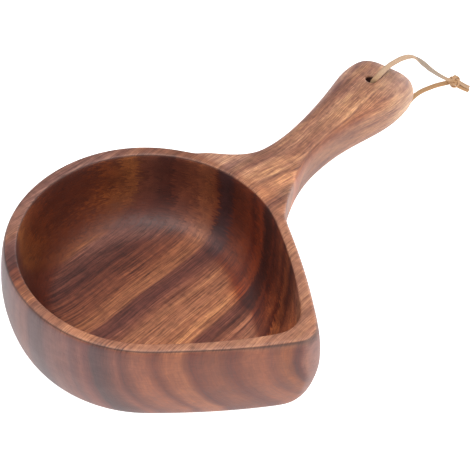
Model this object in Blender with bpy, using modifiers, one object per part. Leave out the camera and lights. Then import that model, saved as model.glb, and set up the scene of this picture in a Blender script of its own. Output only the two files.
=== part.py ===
"""Handled soup bowl with a pouring lip, carved from one block, and its leather hanging thong.

Metres, +Z up. The origin is the centre of the round part of the bowl, on the plane it stands on.
+Y runs along the handle, and +X points at the pouring lip.
"""
import math

import bmesh
import bpy
import numpy as np
from mathutils import Vector

# Bowl, seen from above
INNER_RADIUS = 0.060
WALL_AT_RIM = 0.0057
OUTER_SHIFT_X = -0.0006
INNER_LIP_REACH = 0.0788
LIP_WALL_AT_RIM = 0.0092
INNER_LIP_RADIUS = 0.0145
OUTER_LIP_RADIUS = 0.0110
FLANK_BOW = 0.0011

# Bowl, seen from the side
BOWL_HEIGHT = 0.050
CAVITY_DEPTH = 0.039
WALL_BULGE = 0.0025
LIP_BULGE = 0.0046
BASE_ROUND_WIDTH = 0.0097
LIP_BASE_ROUND_WIDTH = 0.0110
BASE_ROUND_HEIGHT = 0.030
FLAT_BORDER = 0.009
FLOOR_ROUND_WIDTH = 0.0175
LIP_FLOOR_ROUND_WIDTH = 0.0215
FLOOR_ROUND_HEIGHT = 0.024
FLOOR_DISH = 0.0008
RIM_EASE = 0.0010

# Handle, measured from the outside of the wall or from the handle's middle line
HANDLE_OFFSET_X = 0.0133
HANDLE_LEAN = math.radians(1.1)
HANDLE_LENGTH = 0.1370
WAIST_FROM_WALL = 0.0393
WAIST_HALF_WIDTH = 0.0107
END_HALF_WIDTH = 0.0209
FLARE_BACK = 0.0214
FLARE_LIP = 0.0094
FLARE_BACK_POWER = 3.2
FLARE_LIP_POWER = 1.6
WIDENING_POWER = 1.45
ROOT_THICKNESS = 0.0255
GRIP_THICKNESS = 0.0205
END_THICKNESS = 0.0272
DEEPENED_LENGTH = 0.020
ROOT_EDGE_RADIUS = 0.0018
END_EDGE_RADIUS = 0.0127
END_CLOSING = 0.024
END_SQUARENESS = 3.8
END_FACE_SHARE = 0.55

# Hanging hole
HOLE_RADIUS = 0.0030
HOLE_FROM_END = 0.025
HOLE_EASE = 0.0009
CUTTER_REACH = 0.002

# Leather thong
THONG_DIAMETER = 0.0024
THONG_STEP = 2 * THONG_DIAMETER
KNOT_CENTRE = Vector((0.0314, 0.2741, 0.0039))
KNOT_RADIUS = 0.0031
KNOT_WRAP_RADIUS = 0.0011
KNOT_WRAP_TILT = math.radians(24)

# How finely the cage is divided
ROUND_STEPS = 30
SIDE_STEPS = 4
LIP_STEPS = 4
BASE_RING_SHARES = (0, 0.05, 0.2, 0.45, 0.75)
ROOT_RING_SHARES = (0.1, 0.3, 0.75)
FLOOR_RING_ANGLES = [math.radians(a) for a in (0, 22.5, 45, 67.5, 90)]
FLOOR_MIDDLE_SHARE = 0.6
ROOT_FIRST = 1
ROOT_LAST = 7
ROOT_LOOPS = 5
GRIP_LOOPS = 8
END_LOOP_SHARES = (0.33, 0.60, 0.79, 0.915, 0.98)
CORNER_ANGLES = [math.radians(a) for a in (90, 54, 18, -18, -54, -90)]
SMOOTHING_LEVELS = 1

# Where the handle's first loops stand, so that they follow the round wall
ROOT_LOOPS_START = -0.0002
ROOT_LOOPS_END = 0.0224
ROOT_LOOP_SLANT = 0.0045
ROOT_LOOP_BOW = 0.0065

# Route of the thong: from the knot over the handle's end, down the hole and back over the table
LOOP_ROUTE = [
    (0.0310, 0.2707, 0.0060), (0.0303, 0.2668, 0.0082), (0.0297, 0.2601, 0.0125),
    (0.0290, 0.2514, 0.0188), (0.0282, 0.2430, 0.0252), (0.0271, 0.2336, 0.0327),
    (0.0257, 0.2250, 0.0403), (0.0229, 0.2174, 0.0470), (0.0213, 0.2114, 0.0504),
    (0.0204, 0.2060, 0.0523), (0.0197, 0.2010, 0.0534), (0.0192, 0.1957, 0.0541),
    (0.0186, 0.1910, 0.0543), (0.0182, 0.1866, 0.0540), (0.0179, 0.1832, 0.0533),
    (0.0175, 0.1804, 0.0522), (0.0168, 0.1785, 0.0506), (0.0160, 0.1778, 0.0486),
    (0.0157, 0.1776, 0.0460), (0.0151, 0.1776, 0.0400), (0.0145, 0.1780, 0.0300),
    (0.0143, 0.1784, 0.0215), (0.0144, 0.1798, 0.0142), (0.0146, 0.1832, 0.0076),
    (0.0149, 0.1886, 0.0031), (0.0153, 0.1952, 0.0015), (0.0161, 0.2040, 0.0013),
    (0.0170, 0.2140, 0.0013), (0.0176, 0.2250, 0.0013), (0.0178, 0.2346, 0.0013),
    (0.0173, 0.2425, 0.0013), (0.0176, 0.2484, 0.0013), (0.0185, 0.2535, 0.0013),
    (0.0202, 0.2587, 0.0013), (0.0224, 0.2644, 0.0013), (0.0249, 0.2690, 0.0016),
    (0.0276, 0.2722, 0.0024),
]
TAIL_ROUTES = {
    "thong_tail_upper": [(0.0353, 0.2747, 0.0045), (0.0383, 0.2751, 0.0041), (0.0413, 0.2755, 0.0038)],
    "thong_tail_lower": [(0.0351, 0.2732, 0.0018), (0.0383, 0.2736, 0.0014), (0.0418, 0.2740, 0.0013)],
}

OUTER_RADIUS = INNER_RADIUS + WALL_AT_RIM
UNDERSIDE = BOWL_HEIGHT - ROOT_THICKNESS
HANDLE_END = OUTER_RADIUS + HANDLE_LENGTH
WAIST_Y = OUTER_RADIUS + WAIST_FROM_WALL
HOLE_Y = HANDLE_END - HOLE_FROM_END
CLOSING_Y = HANDLE_END - END_CLOSING


def clear_scene():
    for item in list(bpy.data.objects):
        bpy.data.objects.remove(item, do_unlink=True)


def new_collection(name):
    collection = bpy.data.collections.new(name)
    bpy.context.scene.collection.children.link(collection)
    return collection


def new_material(name, colour, roughness):
    material = bpy.data.materials.new(name)
    material.use_nodes = True
    shader = material.node_tree.nodes["Principled BSDF"]
    shader.inputs["Base Color"].default_value = (*colour, 1.0)
    shader.inputs["Roughness"].default_value = roughness
    shader.inputs["Metallic"].default_value = 0.0
    return material


def mesh_object(name, bm, collection, material=None):
    """A smooth shaded object made from a bmesh."""
    bmesh.ops.recalc_face_normals(bm, faces=bm.faces)
    mesh = bpy.data.meshes.new(name)
    bm.to_mesh(mesh)
    bm.free()
    mesh.shade_smooth()
    mesh.set_sharp_from_angle(angle=math.radians(50))
    item = bpy.data.objects.new(name, mesh)
    if material:
        mesh.materials.append(material)
    collection.objects.link(item)
    return item


def as_cutter(item):
    item.hide_render = True
    item.display_type = "WIRE"
    return item


def add_boolean(target, tool, operation):
    modifier = target.modifiers.new(f"{operation} {tool.name}", "BOOLEAN")
    modifier.operation = operation
    modifier.solver = "EXACT"
    modifier.object = tool
    return modifier


# Plan of the bowl

def teardrop(radius, reach, lip_radius, centre_x):
    """A circle and its two flanks to a smaller circle, the lip's tip, which lies on the +X side."""
    lip_centre = reach - centre_x - lip_radius
    ends = math.acos((radius - lip_radius) / lip_centre)
    step = (2 * math.pi - 2 * ends) / ROUND_STEPS
    cage_radius = radius * stand_out(step)
    round_part = []
    for i in range(ROUND_STEPS + 1):
        angle = ends + step * i
        round_part.append(Vector((cage_radius * math.cos(angle), cage_radius * math.sin(angle), 0)))
    lip = []
    for i in range(LIP_STEPS + 1):
        angle = -ends + 2 * ends * i / LIP_STEPS
        lip.append(Vector((lip_centre + lip_radius * math.cos(angle), lip_radius * math.sin(angle), 0)))
    points = round_part + flank(round_part[-1], lip[0]) + lip + flank(lip[-1], round_part[0])
    return [point + Vector((centre_x, 0, 0)) for point in points]


def stand_out(step):
    """How much farther out cage points lie than the arc that they smooth down to."""
    return 3 / (2 + math.cos(step))


def flank(start, end):
    """The points that divide a flank, which bows outwards a little between its ends."""
    outwards = (end - start).cross(Vector((0, 0, 1))).normalized()
    points = []
    for i in range(1, SIDE_STEPS):
        share = i / SIDE_STEPS
        points.append(start.lerp(end, share) + outwards * (4 * FLANK_BOW * share * (1 - share)))
    return points


def outer_insets(z):
    """How far the outer wall lies inside the rim's outline at a height: round part, lip."""
    if z < BASE_ROUND_HEIGHT:
        drop = 1 - z / BASE_ROUND_HEIGHT
        rounding = 1 - math.sqrt(1 - drop * drop)
        bulge = 1
    else:
        rise = (z - BASE_ROUND_HEIGHT) / (BOWL_HEIGHT - BASE_ROUND_HEIGHT)
        rounding = 0
        bulge = 1 - rise * rise
    return (BASE_ROUND_WIDTH * rounding - WALL_BULGE * bulge,
            LIP_BASE_ROUND_WIDTH * rounding - LIP_BULGE * bulge)


def outer_rings():
    """Rings of the outer wall, from the flat base up to the rim, as (height, inset, lip inset)."""
    flat, lip_flat = outer_insets(0)
    rings = [(0, flat + FLAT_BORDER, lip_flat + FLAT_BORDER)]
    heights = [UNDERSIDE * share for share in BASE_RING_SHARES] + root_heights()[:-1]
    rings += [(z, *outer_insets(z)) for z in heights]
    rings.append((BOWL_HEIGHT, RIM_EASE, RIM_EASE))
    return rings


def root_heights():
    """Heights at which the handle's side is divided where it leaves the wall, from below."""
    straight = ROOT_THICKNESS - 2 * RIM_EASE
    between = [UNDERSIDE + straight * share for share in ROOT_RING_SHARES]
    return [UNDERSIDE] + between + [BOWL_HEIGHT - RIM_EASE, BOWL_HEIGHT]


def cavity_rings():
    """Rings of the cavity, from the rim down to the middle of the floor, as (height, inset, lip inset)."""
    straight = CAVITY_DEPTH - FLOOR_ROUND_HEIGHT
    rings = [(BOWL_HEIGHT, -RIM_EASE, -RIM_EASE), (BOWL_HEIGHT - RIM_EASE, 0, 0),
             (BOWL_HEIGHT - straight / 2, 0, 0)]
    for angle in FLOOR_RING_ANGLES:
        depth = straight + FLOOR_ROUND_HEIGHT * math.sin(angle)
        share = 1 - math.cos(angle)
        rings.append((BOWL_HEIGHT - depth, FLOOR_ROUND_WIDTH * share, LIP_FLOOR_ROUND_WIDTH * share))
    rings.append((BOWL_HEIGHT - CAVITY_DEPTH - FLOOR_DISH,
                  INNER_RADIUS * FLOOR_MIDDLE_SHARE, INNER_LIP_REACH * FLOOR_MIDDLE_SHARE))
    return rings


def bowl_loops():
    """All rings of the bowl as lists of points, from the middle of the base to that of the floor."""
    loops = []
    outer_reach = INNER_LIP_REACH + LIP_WALL_AT_RIM
    for z, inset, lip_inset in outer_rings():
        outline = teardrop(OUTER_RADIUS - inset, outer_reach - lip_inset, OUTER_LIP_RADIUS, OUTER_SHIFT_X)
        loops.append([Vector((p.x, p.y, z)) for p in outline])
    inner = []
    for z, inset, lip_inset in cavity_rings():
        outline = teardrop(INNER_RADIUS - inset, INNER_LIP_REACH - lip_inset, INNER_LIP_RADIUS, 0)
        inner.append([Vector((p.x, p.y, z)) for p in outline])
    middle = [a.lerp(b, 0.5) for a, b in zip(loops[-1], inner[0])]
    return loops + [middle] + inner


# Plan and thickness of the handle

def smooth_step(share):
    share = min(max(share, 0), 1)
    return share * share * (3 - 2 * share)


def half_width(y, flare, power):
    """Half the handle's width at a distance from the bowl's centre, before its end closes."""
    if y < WAIST_Y:
        return WAIST_HALF_WIDTH + flare * ((WAIST_Y - y) / WAIST_FROM_WALL) ** power
    share = min((y - WAIST_Y) / (CLOSING_Y - WAIST_Y), 1)
    return WAIST_HALF_WIDTH + (END_HALF_WIDTH - WAIST_HALF_WIDTH) * smooth_step(share ** WIDENING_POWER)


def middle_x(y):
    """The handle's middle line, which leans slightly towards the lip."""
    return HANDLE_OFFSET_X + (y - WAIST_Y) * math.tan(HANDLE_LEAN)


def end_share(y):
    """How much of the width is left where the end closes."""
    share = min(max((y - CLOSING_Y) / END_CLOSING, 0), 1)
    return (1 - share ** END_SQUARENESS) ** (1 / END_SQUARENESS)


def along_handle(y):
    """0 at the wall and 1 where the end starts to close."""
    return min(max((y - OUTER_RADIUS) / (CLOSING_Y - OUTER_RADIUS), 0), 1)


def thickness(y):
    """Thickness of the handle: deeper against the wall, then swelling from grip to end."""
    near_wall = max(0, 1 - (y - OUTER_RADIUS) / DEEPENED_LENGTH)
    grip = GRIP_THICKNESS + (END_THICKNESS - GRIP_THICKNESS) * along_handle(y)
    return grip + (ROOT_THICKNESS - GRIP_THICKNESS) * near_wall * near_wall


def edge_radius(y):
    """Radius of the handle's long edges: crisp at the bowl, full at the end."""
    return ROOT_EDGE_RADIUS + (END_EDGE_RADIUS - ROOT_EDGE_RADIUS) * along_handle(y)


def half_thickness(y, radius):
    """Half the thickness, which the end's own rounding draws in."""
    half = thickness(y) / 2
    into_end = y - (HANDLE_END - radius)
    if into_end <= 0:
        return half
    return half - radius + math.sqrt(max(radius * radius - into_end * into_end, 0))


def handle_section(y_back, y_lip, bow):
    """One loop of the handle; its two sides may stand at different distances from the bowl."""
    back_width = half_width(y_back, FLARE_BACK, FLARE_BACK_POWER) * end_share(y_back)
    lip_width = half_width(y_lip, FLARE_LIP, FLARE_LIP_POWER) * end_share(y_lip)
    back = Vector((middle_x(y_back) - back_width, y_back, 0))
    lip = Vector((middle_x(y_lip) + lip_width, y_lip, 0))
    y = (y_back + y_lip) / 2
    radius = min(edge_radius(y), thickness(y) / 2)
    half = half_thickness(y, radius)
    radius = min(radius, half, 0.45 * (lip - back).length)
    return rounded_loop(back, lip, BOWL_HEIGHT - thickness(y) / 2, half, radius, bow)


def rounded_loop(back, lip, middle_z, half, radius, bow):
    """A rounded rectangle that stands on the line from back to lip, across the handle."""
    across = ROOT_LAST - ROOT_FIRST
    cage_radius = radius * stand_out(CORNER_ANGLES[0] - CORNER_ANGLES[1])
    width = (lip - back).length
    top = [(radius + (width - 2 * radius) * i / across, half) for i in range(across + 1)]
    side = []
    for angle in CORNER_ANGLES[1:-1]:
        centre = half - radius if angle > 0 else radius - half
        side.append((cage_radius * math.cos(angle) - radius, centre + cage_radius * math.sin(angle)))
    outline = list(top)
    outline += [(width + out, z) for out, z in side]
    outline += [(x, -half) for x, z in reversed(top)]
    outline += [(-out, z) for out, z in reversed(side)]
    loop = []
    for distance, z in outline:
        share = distance / width
        point = back.lerp(lip, share)
        point.y += bow * max(0, 1 - (2 * share - 1) ** 2)
        point.z = middle_z + z
        loop.append(point)
    return loop


def handle_stations():
    """Where the handle's loops stand, as (distance at the back edge, at the lip edge, bow)."""
    stations = []
    for i in range(ROOT_LOOPS):
        share = i / (ROOT_LOOPS - 1)
        fade = (1 - share) ** 2
        y = OUTER_RADIUS + ROOT_LOOPS_START + (ROOT_LOOPS_END - ROOT_LOOPS_START) * share
        stations.append((y, y - ROOT_LOOP_SLANT * fade, ROOT_LOOP_BOW * fade))
    start = OUTER_RADIUS + ROOT_LOOPS_END
    grip = [start + (CLOSING_Y - start) * i / GRIP_LOOPS for i in range(1, GRIP_LOOPS + 1)]
    end = [CLOSING_Y + END_CLOSING * share for share in END_LOOP_SHARES]
    return stations + [(y, y, 0) for y in grip + end]


# The carved body

def add_strip(bm, lower, upper):
    """Join two closed loops of as many points with four sided faces."""
    count = len(lower)
    for i in range(count):
        j = (i + 1) % count
        bm.faces.new((lower[i], lower[j], upper[j], upper[i]))


def root_loop(rings):
    """The wall's own points round the place where the handle grows out, in the handle's order."""
    top = len(outer_rings()) - 1
    bottom = top - (len(root_heights()) - 1)
    columns = range(ROOT_LAST, ROOT_FIRST - 1, -1)
    loop = [rings[top][c] for c in columns]
    loop += [rings[row][ROOT_FIRST] for row in range(top - 1, bottom, -1)]
    loop += [rings[bottom][c] for c in reversed(columns)]
    loop += [rings[row][ROOT_LAST] for row in range(bottom + 1, top)]
    return loop


def add_bowl(bm):
    rings = [[bm.verts.new(point) for point in loop] for loop in bowl_loops()]
    top = len(outer_rings()) - 1
    bottom = top - (len(root_heights()) - 1)
    count = len(rings[0])
    bm.faces.new(list(reversed(rings[0])))
    for row, (lower, upper) in enumerate(zip(rings, rings[1:])):
        for i in range(count):
            in_root = bottom <= row < top and ROOT_FIRST <= i < ROOT_LAST
            if not in_root:
                j = (i + 1) % count
                bm.faces.new((lower[i], lower[j], upper[j], upper[i]))
    bm.faces.new(rings[-1])
    return rings


def add_handle(bm, first):
    loops = [first]
    for station in handle_stations():
        loops.append([bm.verts.new(point) for point in handle_section(*station)])
    centre = sum((v.co for v in loops[-1]), Vector()) / len(loops[-1])
    tip = []
    for vert in loops[-1]:
        point = centre.lerp(vert.co, END_FACE_SHARE)
        point.y = HANDLE_END
        tip.append(bm.verts.new(point))
    loops.append(tip)
    for near, far in zip(loops, loops[1:]):
        add_strip(bm, near, far)
    bm.faces.new(tip)


def hole_cutter(collection):
    """A turned cutter that flares at both faces of the handle, so that the hole's edges are eased."""
    half_profile = [(0, CUTTER_REACH), (HOLE_RADIUS + HOLE_EASE + CUTTER_REACH, CUTTER_REACH),
                    (HOLE_RADIUS + HOLE_EASE, 0), (HOLE_RADIUS + 0.3 * HOLE_EASE, -0.6 * HOLE_EASE),
                    (HOLE_RADIUS, -1.6 * HOLE_EASE)]
    under = BOWL_HEIGHT - thickness(HOLE_Y)
    profile = [(out, BOWL_HEIGHT + z) for out, z in half_profile]
    profile += [(out, under - z) for out, z in reversed(half_profile)]
    mesh = bpy.data.meshes.new("hole_cutter")
    edges = [(i, i + 1) for i in range(len(profile) - 1)]
    mesh.from_pydata([(x, 0, z) for x, z in profile], edges, [])
    item = bpy.data.objects.new("hole_cutter", mesh)
    item.location = (middle_x(HOLE_Y), HOLE_Y, 0)
    collection.objects.link(item)
    screw = item.modifiers.new("turned", "SCREW")
    screw.steps = 24
    screw.render_steps = 24
    screw.use_merge_vertices = True
    screw.merge_threshold = 0.0001
    return as_cutter(item)


def make_body(parts, cutters):
    bm = bmesh.new()
    rings = add_bowl(bm)
    add_handle(bm, root_loop(rings))
    wood = new_material("oiled_acacia", (0.33, 0.150, 0.070), 0.45)
    body = mesh_object("wooden_bowl", bm, parts, wood)
    smoothing = body.modifiers.new("smoothed cage", "SUBSURF")
    smoothing.levels = SMOOTHING_LEVELS
    smoothing.render_levels = SMOOTHING_LEVELS
    add_boolean(body, hole_cutter(cutters), "DIFFERENCE")
    return body


# The thong

def curve_through(points, step):
    """Evenly spaced points on a smooth curve through the route's own points."""
    route = np.array(points)
    ends = np.vstack([2 * route[0] - route[1], route, 2 * route[-1] - route[-2]])
    dense = []
    for i in range(1, len(ends) - 2):
        before, start, end, after = ends[i - 1:i + 3]
        for t in np.linspace(0, 1, 20, endpoint=False):
            dense.append(0.5 * (2 * start + (end - before) * t
                                + (2 * before - 5 * start + 4 * end - after) * t ** 2
                                + (3 * start - before - 3 * end + after) * t ** 3))
    dense.append(route[-1])
    dense = np.array(dense)
    run = np.concatenate([[0], np.cumsum(np.linalg.norm(np.diff(dense, axis=0), axis=1))])
    count = max(2, round(run[-1] / step))
    marks = np.linspace(0, run[-1], count + 1)
    return np.column_stack([np.interp(marks, run, dense[:, axis]) for axis in range(3)])


def make_lace(name, route, collection, material):
    """A round lace along a route, with closed ends."""
    curve = bpy.data.curves.new(name, "CURVE")
    curve.dimensions = "3D"
    curve.bevel_depth = THONG_DIAMETER / 2
    curve.bevel_resolution = 2
    curve.use_fill_caps = True
    points = curve_through(route, THONG_STEP)
    spline = curve.splines.new("POLY")
    spline.points.add(len(points) - 1)
    for target, point in zip(spline.points, points):
        target.co = (*point, 1)
    curve.materials.append(material)
    item = bpy.data.objects.new(name, curve)
    collection.objects.link(item)
    return item


def make_knot(parts, cutters, material):
    """An overhand knot: a tight core with two crossed wraps of lace round it."""
    bm = bmesh.new()
    bmesh.ops.create_uvsphere(bm, u_segments=20, v_segments=12, radius=KNOT_RADIUS)
    bmesh.ops.rotate(bm, verts=bm.verts, cent=(0, 0, 0), matrix=rotation_to_x())
    knot = mesh_object("thong_knot", bm, parts, material)
    knot.location = KNOT_CENTRE
    for number, tilt in enumerate((-KNOT_WRAP_TILT, KNOT_WRAP_TILT)):
        bpy.ops.mesh.primitive_torus_add(
            major_segments=24, minor_segments=8,
            major_radius=KNOT_RADIUS - 0.45 * KNOT_WRAP_RADIUS, minor_radius=KNOT_WRAP_RADIUS,
            location=KNOT_CENTRE, rotation=(tilt, math.pi / 2, 0))
        wrap = bpy.context.object
        wrap.name = f"knot_wrap_{number + 1}"
        for old in list(wrap.users_collection):
            old.objects.unlink(wrap)
        cutters.objects.link(as_cutter(wrap))
        add_boolean(knot, wrap, "UNION")
    return knot


def rotation_to_x():
    """Turns the sphere's poles onto the X axis, along which the lace runs through the knot."""
    return Vector((0, 0, 1)).rotation_difference(Vector((1, 0, 0))).to_matrix()


def make_thong(parts, cutters):
    leather = new_material("tan_leather", (0.62, 0.38, 0.19), 0.7)
    swing = bpy.data.objects.new("thong_swing", None)
    swing.location = (middle_x(HOLE_Y), HOLE_Y, BOWL_HEIGHT)
    parts.objects.link(swing)
    pieces = [make_lace("thong_loop", LOOP_ROUTE, parts, leather)]
    for name, route in TAIL_ROUTES.items():
        pieces.append(make_lace(name, route, parts, leather))
    pieces.append(make_knot(parts, cutters, leather))
    bpy.context.view_layer.update()
    for piece in pieces:
        piece.parent = swing
        piece.matrix_parent_inverse = swing.matrix_world.inverted()


clear_scene()
part_collection = new_collection("handled_soup_bowl")
cutter_collection = new_collection("cutters")
make_body(part_collection, cutter_collection)
make_thong(part_collection, cutter_collection)
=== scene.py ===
"""Handled soup bowl of oiled acacia with a pouring lip and a leather hanging thong.

Metres, +Z up. The origin is the centre of the round part of the bowl, on the plane it stands on.
+Y runs along the handle, and +X points at the pouring lip.
"""

import math

import bmesh
import bpy
import numpy as np
from mathutils import Matrix, Vector


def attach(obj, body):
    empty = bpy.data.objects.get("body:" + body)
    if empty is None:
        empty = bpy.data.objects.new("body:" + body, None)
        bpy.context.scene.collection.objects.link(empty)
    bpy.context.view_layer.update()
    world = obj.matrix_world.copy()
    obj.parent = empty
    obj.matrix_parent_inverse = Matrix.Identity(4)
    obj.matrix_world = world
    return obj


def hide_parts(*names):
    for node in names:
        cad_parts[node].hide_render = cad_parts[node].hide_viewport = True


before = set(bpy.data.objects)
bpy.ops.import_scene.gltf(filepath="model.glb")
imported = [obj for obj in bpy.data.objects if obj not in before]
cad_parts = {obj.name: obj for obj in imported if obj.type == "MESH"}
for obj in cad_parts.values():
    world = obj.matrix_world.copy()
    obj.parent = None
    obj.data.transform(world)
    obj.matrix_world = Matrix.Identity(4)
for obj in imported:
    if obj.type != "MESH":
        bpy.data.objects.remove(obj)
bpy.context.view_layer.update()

# Camera
AIM = Vector((0.02766, 0.02713, 0.050))
CAMERA_PLACE = Vector((0.19776, -0.25596, 0.37342))
CAMERA_ROLL = math.radians(6.16)
LENS = 76.6

# Thong
LACE_WIDTH = 0.0030
LACE_THICKNESS = 0.0015
LACE_SIDES = 16
LACE_FLATNESS = 0.45
LACE_EDGE_ROUNDNESS = 0.7
LACE_STEP = 0.0010
CURVE_STEPS = 20
LACE_MARKS = ("flesh_side", "drawn_tight", "worn_pale")
KNOT_CENTRE = Vector((0.0314, 0.2729, 0.0043))
KNOT_RADIUS = 0.0024
KNOT_TURN_RADIUS = 0.0011
KNOT_FACING = (AIM - CAMERA_PLACE).normalized() * -1 + Vector((0.25, 0.10, 0.10))
KNOT_ROLL = math.radians(45)
KNOT_STEPS = 120
KNOT_LACE_SHARE = 0.78
TAIL_LACE_SHARE = 0.84
UPPER_TAIL_PALENESS = 0.8
THROUGH_THE_HOLE = [
    (0.0150, 0.1777, 0.0380), (0.0153, 0.1776, 0.0420), (0.0157, 0.1776, 0.0460),
    (0.0160, 0.1778, 0.0486), (0.0168, 0.1785, 0.0506), (0.0175, 0.1804, 0.0522),
]
OVER_THE_END = [
    (0.0179, 0.1832, 0.0533), (0.0182, 0.1866, 0.0540), (0.0186, 0.1910, 0.0543),
    (0.0192, 0.1957, 0.0541), (0.0197, 0.2010, 0.0534), (0.0204, 0.2060, 0.0523),
    (0.0213, 0.2114, 0.0504), (0.0229, 0.2174, 0.0470), (0.0257, 0.2250, 0.0403),
    (0.0271, 0.2336, 0.0327), (0.0282, 0.2430, 0.0252), (0.0290, 0.2514, 0.0188),
    (0.0297, 0.2601, 0.0125), (0.0303, 0.2668, 0.0082), (0.0309, 0.2711, 0.0055),
]
INSIDE_THE_KNOT = [
    (0.0318, 0.2730, 0.0044), (0.0322, 0.2743, 0.0036), (0.0311, 0.2750, 0.0030), (0.0293, 0.2740, 0.0026),
]
ALONG_THE_TABLE = [
    (0.0276, 0.2722, 0.0020), (0.0249, 0.2690, 0.0013), (0.0224, 0.2644, 0.0012),
    (0.0202, 0.2587, 0.0012), (0.0185, 0.2535, 0.0012), (0.0176, 0.2484, 0.0012),
    (0.0173, 0.2425, 0.0012), (0.0178, 0.2346, 0.0012), (0.0176, 0.2250, 0.0012),
    (0.0170, 0.2140, 0.0012), (0.0161, 0.2040, 0.0012), (0.0153, 0.1952, 0.0013),
    (0.0149, 0.1886, 0.0030), (0.0146, 0.1832, 0.0076), (0.0144, 0.1798, 0.0142),
    (0.0143, 0.1784, 0.0215), (0.0145, 0.1780, 0.0300), (0.0147, 0.1777, 0.0370),
]
TAIL_ROUTES = {
    "lace_tail_upper": [(0.0330, 0.2743, 0.0044), (0.0353, 0.2745, 0.0039),
                        (0.0383, 0.2747, 0.0033), (0.0413, 0.2750, 0.0030)],
    "lace_tail_lower": [(0.0330, 0.2734, 0.0022), (0.0351, 0.2735, 0.0017),
                        (0.0383, 0.2738, 0.0014), (0.0418, 0.2741, 0.0014)],
}

# How far the lace's flat side is turned away from the view, in degrees, by the share of its length
LACE_TURNS = [(0.0, 0), (0.09, 20), (0.13, 14), (0.158, 32), (0.175, 52), (0.19, 72), (0.20, 98),
              (0.21, 124), (0.23, 150), (0.25, 195), (0.265, 224), (0.28, 238), (0.312, 256),
              (0.343, 264), (0.41, 272), (0.47, 274), (0.53, 374), (1.0, 374)]
TAIL_TURNS = [(0, -24), (1, -10)]

# Bowl
INNER_RADIUS = 0.060
OUTER_RADIUS = 0.0657
OUTER_SHIFT_X = -0.0006
INNER_LIP_REACH = 0.0788
OUTER_LIP_REACH = 0.0880
INNER_LIP_RADIUS = 0.0145
OUTER_LIP_RADIUS = 0.0110
FLANK_BOW = 0.0011
BOWL_HEIGHT = 0.050
CAVITY_DEPTH = 0.039
WALL_BULGE = 0.0025
LIP_BULGE = 0.0046
BASE_ROUND_WIDTH = 0.0097
LIP_BASE_ROUND_WIDTH = 0.0110
BASE_ROUND_HEIGHT = 0.030
FLAT_BORDER = 0.009
FLOOR_ROUND_WIDTH = 0.0175
LIP_FLOOR_ROUND_WIDTH = 0.0215
FLOOR_ROUND_HEIGHT = 0.024
FLOOR_DISH = 0.0008
FLOOR_DISH_INSET = 0.6
RIM_EASE = 0.0010
FAR_SWELL = 0.0008
FAR_SWELL_MIDDLE = 137
FAR_SWELL_SPREAD = 52

# Handle
HANDLE_OFFSET_X = 0.0133
HANDLE_LEAN = math.radians(1.1)
HANDLE_END = 0.2033
WAIST_FROM_WALL = 0.0393
WAIST_HALF_WIDTH = 0.0107
END_HALF_WIDTH = 0.0212
FLARE_BACK = 0.0214
FLARE_LIP = 0.0094
FLARE_BACK_POWER = 3.4
FLARE_LIP_POWER = 1.6
WIDENING_BACK_POWER = 1.55
WIDENING_LIP_POWER = 1.45
ROOT_THICKNESS = 0.0255
GRIP_THICKNESS = 0.0205
END_THICKNESS = 0.0272
DEEPENED_LENGTH = 0.020
ROOT_EDGE_RADIUS = 0.0018
END_EDGE_RADIUS = 0.0127
END_CLOSING = 0.0246
END_SQUARENESS = 4.0
END_CAP_SHARE = 0.55
WIDEST_EDGE_SHARE = 0.45
WAIST_Y = OUTER_RADIUS + WAIST_FROM_WALL
CLOSING_Y = HANDLE_END - END_CLOSING

# The handle's first sections bow with the wall and turn straight as they leave it
ROOT_START_Y = OUTER_RADIUS - 0.0002
ROOT_STRAIGHT_Y = OUTER_RADIUS + 0.0224
ROOT_SKEW = 0.0045
ROOT_BOW = 0.0065

# Hanging hole, whose eased edge is given as shares of the ease, outwards and upwards
HOLE_FROM_END = 0.0256
HOLE_Y = HANDLE_END - HOLE_FROM_END
HOLE_RADIUS = 0.0030
HOLE_EASE = 0.0009
HOLE_EDGE = [(1.0, 0.0), (0.52, -0.25), (0.2, -0.7), (0.0, -1.6)]
HOLE_SIDES = 64
DRILL_CORE = 0.0001
DRILL_OVERRUN = 0.002

# Cage of the bowl and handle
SMOOTHING = 3
ROUND_STEPS = 30
FLANK_STEPS = 4
LIP_STEPS = 4
WALL_SHARES = (0, 0.05, 0.2, 0.45, 0.75)
FLOOR_TURNS = [math.radians(a) for a in (0, 22.5, 45, 67.5, 90)]
ROOT_SECTIONS = 4
GRIP_SECTIONS = 8
CLOSING_SHARES = (0.33, 0.60, 0.79, 0.915, 0.98)
CORNER_ANGLES = [math.radians(a) for a in (90, 54, 18, -18, -54, -90)]

# The part of the wall that the handle grows out of: its columns of the cage, and its heights
ROOT_FIRST = 1
ROOT_LAST = 7
UNDERSIDE = BOWL_HEIGHT - ROOT_THICKNESS
ROOT_HEIGHTS = [UNDERSIDE] + [UNDERSIDE + (ROOT_THICKNESS - 2 * RIM_EASE) * s for s in (0.1, 0.3, 0.75)]
ROOT_HEIGHTS += [BOWL_HEIGHT - RIM_EASE, BOWL_HEIGHT]


# Camera, floor and light

def place_camera():
    camera = bpy.data.objects.new("camera", bpy.data.cameras.new("camera"))
    camera.data.lens = LENS
    camera.data.sensor_width = 36
    turn = (AIM - CAMERA_PLACE).to_track_quat("-Z", "Y").to_matrix().to_4x4()
    camera.matrix_world = Matrix.Translation(CAMERA_PLACE) @ turn @ Matrix.Rotation(CAMERA_ROLL, 4, "Z")
    bpy.context.scene.collection.objects.link(camera)
    bpy.context.scene.camera = camera


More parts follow.
